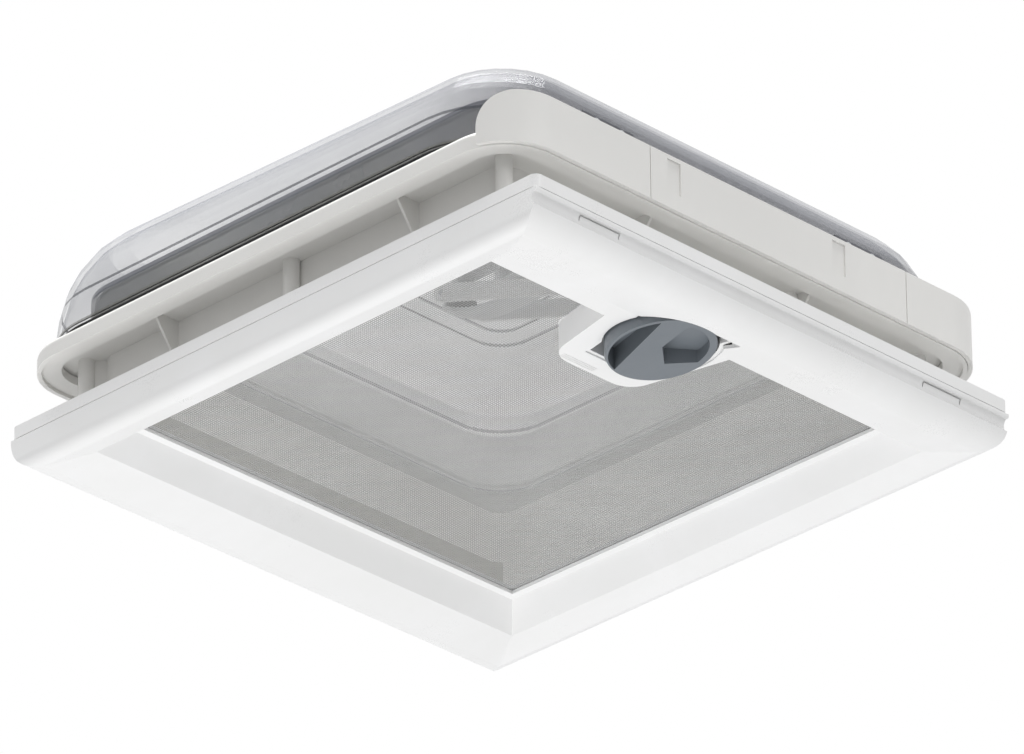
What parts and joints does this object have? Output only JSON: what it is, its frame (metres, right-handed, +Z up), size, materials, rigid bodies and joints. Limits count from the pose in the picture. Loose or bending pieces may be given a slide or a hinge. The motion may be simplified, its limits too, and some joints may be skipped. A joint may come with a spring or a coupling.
{
  "type": "caravan roof vent",
  "caption": "Square caravan roof vent: smoked double dome hinged behind a wind deflector, clamped outer frame, inside trim with fly screen and a turning knob that lifts the dome.",
  "frame": {"origin": "middle of the square roof opening, on the roof's outer face, where the flange rests", "axes": "+Z up out of the roof, +X towards the hinges and the wind deflector, Y along the hinge line"},
  "size_m": [0.477, 0.451, 0.1733],
  "materials": {
    "white_outer": "satin",
    "white_inner": "gloss",
    "rubber": "matt",
    "hinge_black": "grained",
    "steel": "zinc plated",
    "net": "woven",
    "dark_plastic": "matt",
    "black_plastic": "matt",
    "knob_grey": "satin",
    "smoked": "clear smoked",
    "smoked_pane": "clear smoked"
  },
  "bodies": {
    "base": {"outer_frame": "white_outer", "dome_seal": "rubber", "wind_deflector": "white_outer", "deflector_screws": "steel", "hinge_bases": "hinge_black", "hinge_pins": "steel", "ceiling_frame": "white_inner", "clamp_screws": "steel", "inside_trim": "white_inner", "screen_net": "net", "screen_frame": "dark_plastic", "drive_housing": "dark_plastic", "housing_screws": "steel"},
    "dome": {"dome_outer": "smoked", "dome_pane": "smoked_pane", "hinge_leaf_near": "hinge_black", "hinge_leaf_far": "hinge_black", "leaf_screws": "steel", "lift_track": "dark_plastic"},
    "knob": {"knob": "knob_grey", "knob_spindle": "steel"},
    "lift_arm": {"cross_shaft": "steel", "spindle_clip": "steel", "lift_arm_near": "steel", "lift_arm_far": "steel", "roller": "black_plastic", "roller_pin": "steel"}
  },
  "joints": [
    {"name": "dome_hinge", "type": "hinge", "parent": "base", "child": "dome", "pos_m": [0.214, 0, 0.04], "axis": [0, 1, 0], "range_deg": [0, 55]},
    {"name": "arm_pivot", "type": "hinge", "parent": "base", "child": "lift_arm", "pos_m": [0.142, -0.036, -0.01], "axis": [0, 1, 0], "range_deg": [0, 70]},
    {"name": "knob_turn", "type": "hinge", "parent": "base", "child": "knob", "pos_m": [0.176, -0.036, -0.06], "axis": [0, 0, 1], "range_deg": [-700, 0]}
  ],
  "couplings": [
    {"joint": "arm_pivot", "follows": "dome_hinge", "ratio": 1.27},
    {"joint": "knob_turn", "follows": "dome_hinge", "ratio": -12.7}
  ]
}
